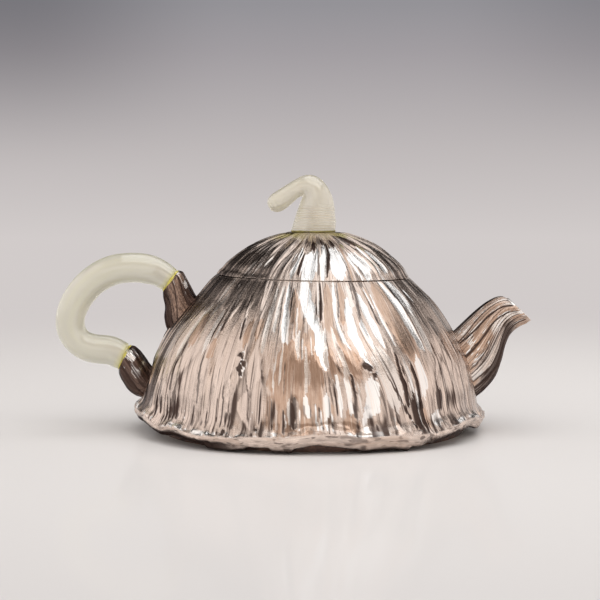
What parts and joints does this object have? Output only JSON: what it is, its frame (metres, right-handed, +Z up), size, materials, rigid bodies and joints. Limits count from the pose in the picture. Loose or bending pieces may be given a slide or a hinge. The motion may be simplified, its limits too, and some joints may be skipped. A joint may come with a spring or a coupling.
{
  "type": "teapot",
  "caption": "Low domed silver teapot with a pleated leaf-like skirt, lift-off lid with a bent glass stem knob, short fluted spout and a C-shaped pale glass handle.",
  "frame": {"origin": "centre of the foot ring's underside, on the pot's own axis, on the table", "axes": "+Z up along the pot's axis, +X towards the spout, -X towards the handle, the pot's front as seen by a viewer with the spout on the right is -Y"},
  "size_m": [0.1807, 0.1338, 0.0971],
  "materials": {
    "patinated_silver": "polished silver with a warm brown and grey patina in the grooves",
    "dark_silver": "polished silver darkened to brown",
    "plain_silver": "plain satin silver",
    "pale_glass": "milky pale yellow-green glass, polished",
    "yellow_cement": "translucent yellow cement"
  },
  "bodies": {
    "pot": {"body_shell": "patinated_silver", "spout": "patinated_silver", "upper_socket": "dark_silver", "lower_socket": "dark_silver", "mouth_collar": "plain_silver", "base_plate": "plain_silver", "foot_ring": "dark_silver", "spout_strainer": "plain_silver", "upper_peg": "plain_silver", "lower_peg": "plain_silver", "handle_grip": "pale_glass", "upper_cement": "yellow_cement", "lower_cement": "yellow_cement"},
    "lid": {"lid_shell": "patinated_silver", "lid_flange": "plain_silver", "lid_knob": "pale_glass", "knob_cement": "yellow_cement", "knob_stud": "plain_silver", "knob_washer": "plain_silver", "knob_nut": "plain_silver"}
  },
  "joints": [
    {"name": "lid_lift", "type": "slide", "parent": "pot", "child": "lid", "axis": [0, 0, 1], "range_m": [0, 0.06]}
  ]
}
